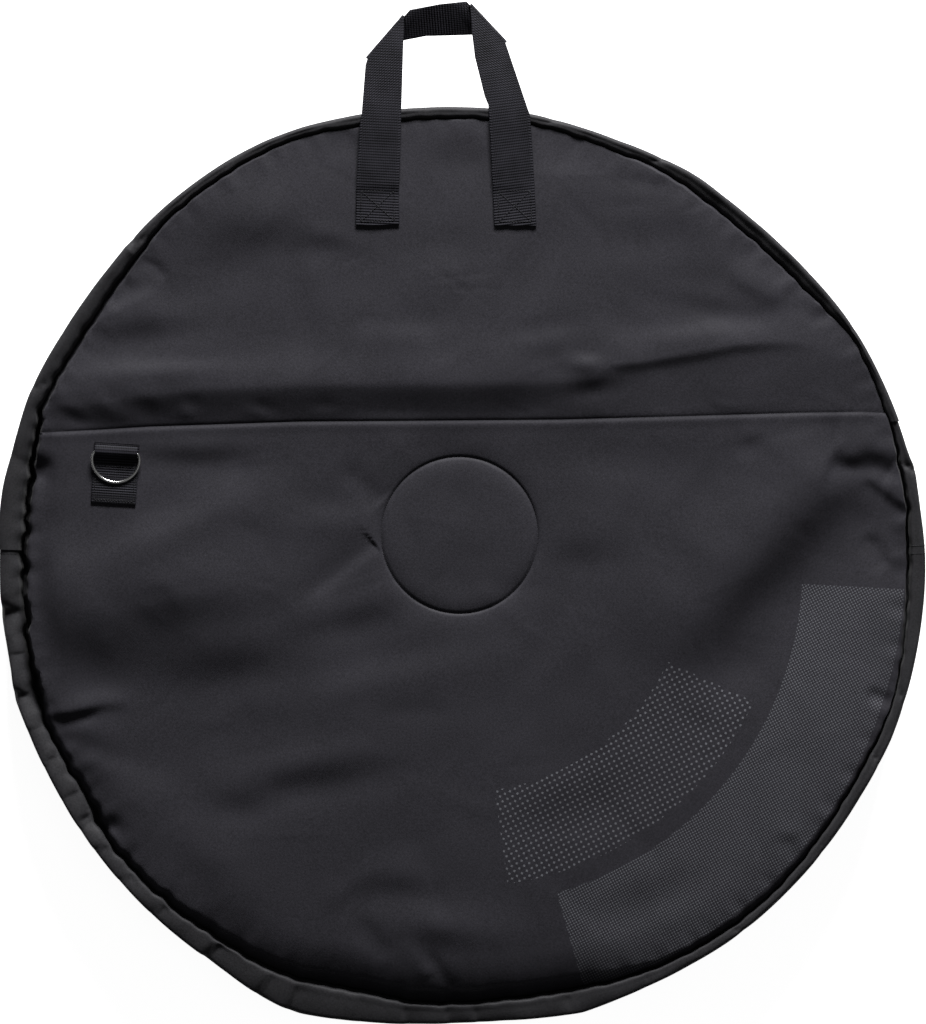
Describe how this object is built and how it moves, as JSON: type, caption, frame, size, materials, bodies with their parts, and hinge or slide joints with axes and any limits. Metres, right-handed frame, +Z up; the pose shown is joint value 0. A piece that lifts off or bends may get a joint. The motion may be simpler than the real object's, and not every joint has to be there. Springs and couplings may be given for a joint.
{
  "type": "bike wheel bag",
  "caption": "Round padded bag for one bicycle wheel, with a zip round the upper half of its side band, a carry handle and a D-ring.",
  "frame": {"origin": "on the floor under the middle of the whole outline, with the bag lying on its back and its handle laid out flat", "axes": "+Z up through the front panel, +Y from the bag's centre to the carry handle, +X to the right of the front"},
  "size_m": [0.778, 0.866, 0.0751],
  "materials": {
    "shell_cloth": "matte",
    "band_cloth": "matte",
    "lining_cloth": "matte",
    "foam": "matte",
    "webbing": "matte",
    "binding_tape": "matte",
    "zip_tape": "matte",
    "zip_coil": "satin",
    "hub_disc": "matte",
    "slider_metal": "satin",
    "ring_steel": "polished"
  },
  "bodies": {
    "bag": {"back_panel": "shell_cloth", "back_foam": "foam", "back_lining": "lining_cloth", "back_hub_disc": "hub_disc", "back_seam_binding": "binding_tape", "base_gusset": "band_cloth", "base_gusset_lining": "lining_cloth", "join_tape_left": "binding_tape", "join_tape_right": "binding_tape", "zip_strip_back": "band_cloth", "zip_tape_back": "zip_tape", "zip_coil_back": "zip_coil", "zip_strip_front_left": "band_cloth", "zip_tape_front_left": "zip_tape", "zip_coil_front_left": "zip_coil", "zip_strip_front_right": "band_cloth", "zip_tape_front_right": "zip_tape", "zip_coil_front_right": "zip_coil", "front_lower_panel": "shell_cloth", "front_lower_foam": "foam", "front_lower_lining": "lining_cloth", "front_lower_binding": "binding_tape", "front_hub_disc": "hub_disc", "fold_seam_tape": "binding_tape", "ring_patch": "webbing", "ring_loop": "webbing"},
    "flap": {"front_upper_panel": "shell_cloth", "front_upper_foam": "foam", "front_upper_lining": "lining_cloth", "front_upper_binding": "binding_tape", "zip_strip_flap": "band_cloth", "zip_tape_flap": "zip_tape", "zip_coil_flap": "zip_coil", "handle_left_tab": "webbing", "handle_right_tab": "webbing"},
    "handle": {"handle_loop": "webbing"},
    "ring": {"d_ring": "ring_steel"},
    "slider_left": {"zip_slider_left": "slider_metal"},
    "slider_right": {"zip_slider_right": "slider_metal"},
    "pull_left": {"zip_pull_left": "slider_metal"},
    "pull_right": {"zip_pull_right": "slider_metal"}
  },
  "joints": [
    {"name": "flap_fold", "type": "hinge", "parent": "bag", "child": "flap", "pos_m": [0, 0.078, 0.06937], "axis": [1, 0, 0], "range_deg": [0, 150]},
    {"name": "handle_swing", "type": "hinge", "parent": "flap", "child": "handle", "pos_m": [0, 0.274, 0.06861], "axis": [-1, 0, 0], "range_deg": [-150, 0]},
    {"name": "ring_swing", "type": "hinge", "parent": "bag", "child": "ring", "pos_m": [-0.293, 0.0525, 0.07191], "axis": [0.9981, -0.061, 0], "range_deg": [-165, 0]},
    {"name": "slider_left_run", "type": "hinge", "parent": "bag", "child": "slider_left", "pos_m": [0, -0.044, 0.032], "axis": [0, 0, 1], "range_deg": [-2, 53]},
    {"name": "slider_right_run", "type": "hinge", "parent": "bag", "child": "slider_right", "pos_m": [0, -0.044, 0.032], "axis": [0, 0, 1], "range_deg": [-109, 2]},
    {"name": "pull_left_swing", "type": "hinge", "parent": "slider_left", "child": "pull_left", "pos_m": [-0.20144, 0.29124, 0.032], "axis": [0, 0, -1], "range_deg": [0, 140]},
    {"name": "pull_right_swing", "type": "hinge", "parent": "slider_right", "child": "pull_right", "pos_m": [-0.16529, 0.31046, 0.032], "axis": [0, 0, 1], "range_deg": [0, 140]}
  ]
}
